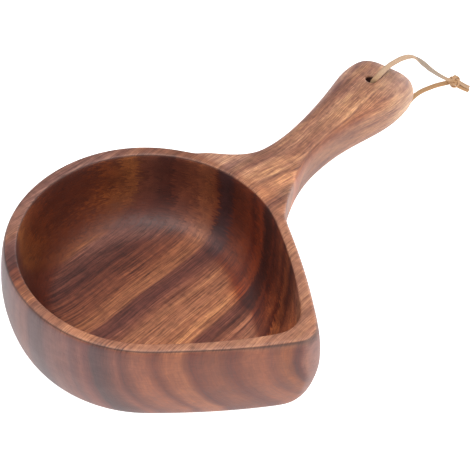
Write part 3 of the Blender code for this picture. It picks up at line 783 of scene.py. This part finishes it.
def acacia():
    """Oiled acacia: growth bands that run along the handle, with fibres, pores, rays, a satin sheen,
    painted sheens and painted shade.
    """
    wood = Finish("oiled_acacia")
    place = wood.millimetres()
    _, y, z = wood.split(place)
    inner_wall, outer_wall, handle = [wood.mark(name) for name in ("inner_wall", "outer_wall", "handle")]
    rays = wood.noise(wood.stretch(place, (0.16, 0.30, 1.5)), 1.0, 2.0, 0.6)
    across = distance_across(wood, place, rays)
    tone = banded_tone(wood, across)

    # The figure bends where the handle grows out of the rim
    at_root = wood.maths("MULTIPLY", wood.level(y, 50.0, 58.0), wood.level(y, 84.0, 102.0, 1.0, 0.0))
    at_root = wood.maths("MULTIPLY", at_root, wood.maths("SUBTRACT", 1.0, inner_wall, clamp=True))
    bend = wood.maths("MULTIPLY", wood.level(y, 70.0, 90.0, 0.0, 3.3), wood.level(across, -6.0, -1.0))
    streaks = banded(wood, wood.maths("SUBTRACT", across, bend), ROOT_STREAKS)
    tone = wood.mix(at_root, tone, streaks, "MULTIPLY")

    # Fine growth lines, fibres and pores along the grain, and rays across it
    def grain(scale, along, through, detail, roughness):
        parts = {0: wood.maths("MULTIPLY", across, scale), 1: wood.maths("MULTIPLY", y, along),
                 2: wood.maths("MULTIPLY", z, through)}
        return wood.noise(wood.add("CombineXYZ", parts), 1.0, detail, roughness)

    lines = grain(0.75, 0.010, 0.05, 4.0, 0.62)
    fibres = grain(2.3, 0.045, 0.2, 3.0, 0.6)
    patches = grain(0.16, 0.030, 0.05, 3.0, 0.55)
    dashes = grain(2.7, 0.10, 0.2, 2.0, 0.5)
    pore = wood.level(grain(2.8, 0.22, 0.3, 1.0, 0.4), 0.56, 0.68)
    mottle = wood.noise(wood.stretch(place, (0.11, 0.09, 0.15)), 1.0, 3.0, 0.6)

    # Where each of them shows
    plain = wood.maths("MAXIMUM", wood.mark("handle_side"), wood.mark("painted_end_sheen"))
    fine = wood.faded(1.0, outer_wall, 0.76)
    fine = wood.maths("SUBTRACT", fine, wood.maths("MULTIPLY", plain, 0.6), clamp=True)
    softer = wood.faded(fine, handle, 0.45)
    softer = wood.faded(softer, wood.mark("worn_rim"), 0.45)
    softer = wood.faded(softer, wood.mark("floor_turn"), 0.60)
    patchy = wood.faded(handle, at_root, 0.55)
    dashed = wood.maths("MULTIPLY", handle, fine)
    mottled = wood.maths("MULTIPLY", inner_wall, wood.level(across, 18.0, 40.0, 0.3, 1.0))
    clouded = wood.maths("MULTIPLY", outer_wall, 0.4)
    rayed = wood.faded(1.0, outer_wall, 0.45)
    layers = [
        (softer, lines, [(0.32, (0.64, 0.55, 0.58)), (0.5, 1.04), (0.68, (1.36, 1.46, 1.36))]),
        (softer, fibres, [(0.34, (0.48, 0.42, 0.42)), (0.5, 1.06), (0.66, (1.52, 1.64, 1.56))]),
        (1.0, patches, [(0.3, (0.90, 0.86, 0.86)), (0.7, (1.10, 1.13, 1.15))]),
        (patchy, patches, [(0.34, (0.74, 0.68, 0.76)), (0.5, (1.0, 1.0, 0.99)),
                           (0.64, (1.22, 1.30, 1.20))]),
        (dashed, dashes, [(0.40, (0.78, 0.73, 0.76)), (0.62, (1.32, 1.42, 1.24))]),
        (mottled, mottle, [(0.36, (0.72, 0.66, 0.72)), (0.64, (1.26, 1.36, 1.22))]),
        (rayed, rays, [(0.35, 0.86), (0.65, 1.14)]),
        (clouded, mottle, [(0.36, (0.78, 0.76, 0.82)), (0.64, (1.20, 1.22, 1.16))]),
    ]
    for strength, noise, tones in layers:
        tone = wood.mix(strength, tone, wood.ramp(noise, tones), "MULTIPLY")
    pore_strength = wood.maths("MULTIPLY", pore, wood.maths("MULTIPLY", fine, 0.5))
    tone = wood.mix(pore_strength, tone, wood.mix(1.0, tone, PORE_SHADE, "MULTIPLY"))
    # Painted shade along the rim's edges and inside the hanging hole
    tone = wood.mix(wood.mark("painted_edge_shade"), tone, EDGE_SHADE)

    wood.shader("Base Color", tone)
    wood.shader("Roughness", wood.level(fibres, 0.2, 0.8, 0.50, 0.62))
    wood.shader("Specular IOR Level", 0.5)
    wood.shader("Coat Weight", 0.06)
    wood.shader("Coat Roughness", 0.45)
    wood.bump(wood.maths("SUBTRACT", wood.maths("MULTIPLY", fibres, 0.5), pore), 0.3)
    return wood.material


# The thong

def smooth_line(points, step):
    """Evenly spaced points on a smooth curve through the route's own points."""
    route = np.array(points)
    ends = np.vstack([2 * route[0] - route[1], route, 2 * route[-1] - route[-2]])
    dense = []
    for i in range(1, len(ends) - 2):
        before, start, end, after = ends[i - 1:i + 3]
        for t in np.linspace(0, 1, CURVE_STEPS, endpoint=False):
            dense.append(0.5 * (2 * start + (end - before) * t
                                + (2 * before - 5 * start + 4 * end - after) * t ** 2
                                + (3 * start - before - 3 * end + after) * t ** 3))
    dense.append(route[-1])
    dense = np.array(dense)
    run = np.concatenate([[0], np.cumsum(np.linalg.norm(np.diff(dense, axis=0), axis=1))])
    marks = np.linspace(0, run[-1], max(2, round(run[-1] / step)) + 1)
    return np.column_stack([np.interp(marks, run, dense[:, axis]) for axis in range(3)]), run[-1]


def lace_section():
    """The lace's cross section, a flat strip with round edges, as points across it and through it."""
    points = []
    for i in range(LACE_SIDES):
        angle = 2 * math.pi * i / LACE_SIDES
        flat = abs(math.cos(angle)) ** LACE_FLATNESS * math.copysign(1, math.cos(angle))
        thin = abs(math.sin(angle)) ** LACE_EDGE_ROUNDNESS * math.copysign(1, math.sin(angle))
        points.append((LACE_WIDTH / 2 * flat, LACE_THICKNESS / 2 * thin))
    return points


def mark_lace(bm, ring, section, tight, pale):
    """Marks the lace's suede side, how tight it is drawn and how pale it is worn."""
    layers = [bm.verts.layers.float[name] for name in LACE_MARKS]
    for vert, (_, through) in zip(ring, section):
        for layer, value in zip(layers, (0.5 - through / LACE_THICKNESS, tight, pale)):
            vert[layer] = value


def ahead_at(line, i):
    return (line[min(i + 1, len(line) - 1)] - line[max(i - 1, 0)]).normalized()


def turned_sides(line, turns):
    """Directions across the lace, turned away from the view as it twists along its length."""
    view = (CAMERA_PLACE - AIM).normalized()
    shares, degrees = zip(*turns)
    sides = []
    for i in range(len(line)):
        ahead = ahead_at(line, i)
        broad = ahead.cross(view).normalized()
        turn = math.radians(np.interp(i / (len(line) - 1), shares, degrees))
        sides.append(broad * math.cos(turn) + ahead.cross(broad) * math.sin(turn))
    return sides


def lace(name, line, sides, material, share=1.0, tight=0.0, pale=0.0):
    """A flat leather lace drawn out along a line."""
    bm = bmesh.new()
    section = lace_section()
    for mark in LACE_MARKS:
        bm.verts.layers.float.new(mark)
    ring = bmesh.ops.create_circle(bm, cap_ends=True, segments=len(section), radius=0.001)["verts"]
    for i, point in enumerate(line):
        across = sides[i]
        through = ahead_at(line, i).cross(across)
        if i:
            ring = extruded(bm, ring)
        moved(ring, [point + (across * a + through * b) * share for a, b in section])
        mark_lace(bm, ring, section, tight, pale)
    bmesh.ops.contextual_create(bm, geom=ring)
    bmesh.ops.recalc_face_normals(bm, faces=bm.faces)
    return finished(name, bm, material)


def lace_knot(material):
    """The overhand knot: the lace drawn tight round itself in a trefoil, its flat side outwards."""
    facing = KNOT_FACING.to_track_quat("Z", "Y").to_matrix() @ Matrix.Rotation(KNOT_ROLL, 3, "Z")
    line, outwards = [], []
    for i in range(KNOT_STEPS + 1):
        turn = 2 * math.pi * i / KNOT_STEPS
        spoke = Vector((math.cos(2 * turn), math.sin(2 * turn), 0))
        outward = spoke * math.cos(3 * turn) + Vector((0, 0, math.sin(3 * turn)))
        line.append(KNOT_CENTRE + facing @ (spoke * KNOT_RADIUS + outward * KNOT_TURN_RADIUS))
        outwards.append(facing @ outward)
    sides = [ahead_at(line, i).cross(outwards[i]).normalized() for i in range(len(line))]
    return lace("lace_knot", line, sides, material, KNOT_LACE_SHARE, tight=1.0)


def leather():
    """Tan leather lace: a pale suede side, a greyer smooth side that also stands in for shade where the
    lace hangs over the handle's end, warmer where it lies on the table, and painted shade near the hole.
    """
    hide = Finish("tan_leather")
    place = hide.millimetres()
    _, y, z = hide.split(place)
    nap = hide.noise(place, 2.2, 4.0, 0.65)
    flesh_side, tight, pale = [hide.mark(name) for name in LACE_MARKS]
    flesh = hide.level(flesh_side, 0.3, 0.7)
    raised = hide.maths("MAXIMUM", hide.level(z, 6.0, 26.0), pale)
    # The lace by the hole takes the warmer, darker colour too: painted shade under the handle
    raised = hide.maths("MULTIPLY", raised, hide.level(y, 177.0, 184.0, 0.4, 1.0))
    suede = hide.ramp(nap, [(0.3, srgb(160, 132, 106)), (0.7, srgb(186, 156, 130))])
    # The smooth side's greyer colour is partly painted shade, for the run that hangs down over the
    # handle's end
    smooth = hide.ramp(nap, [(0.3, srgb(132, 116, 100)), (0.7, srgb(152, 134, 118))])
    warm_and_hole_shade = hide.ramp(nap, [(0.3, srgb(148, 112, 78)), (0.7, srgb(176, 138, 99))])
    golden = hide.ramp(nap, [(0.3, srgb(160, 124, 92)), (0.7, srgb(188, 150, 114))])
    tone = hide.mix(raised, warm_and_hole_shade, hide.mix(flesh, smooth, suede))
    hide.shader("Base Color", hide.mix(tight, tone, golden))
    hide.shader("Roughness", 0.75)
    hide.shader("Specular IOR Level", 0.3)
    hide.bump(nap, 0.4)
    return hide.material


def tie_thong():
    hide = leather()
    route = THROUGH_THE_HOLE + OVER_THE_END + INSIDE_THE_KNOT + ALONG_THE_TABLE
    points, length = smooth_line(route, LACE_STEP)
    line = [Vector(p) for p in points]
    loop = lace("lace_loop", line, turned_sides(line, LACE_TURNS), hide)
    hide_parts("thong_loop")
    tails = []
    for name, tail_route in TAIL_ROUTES.items():
        line = [Vector(p) for p in smooth_line(tail_route, LACE_STEP)[0]]
        pale = UPPER_TAIL_PALENESS if name == "lace_tail_upper" else 0.0
        tail = lace(name, line, turned_sides(line, TAIL_TURNS), hide, TAIL_LACE_SHARE, pale=pale)
        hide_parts(name.replace("lace", "thong"))
        tails.append(tail)
    knot = lace_knot(hide)
    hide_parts("thong_knot")
    for piece in (loop, knot, *tails):
        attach(piece, "thong")


place_camera()
tie_thong()
body = carve_bowl()
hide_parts("wooden_bowl")
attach(body, "bowl")
light_the_studio()
bpy.context.scene.view_settings.view_transform = "Standard"
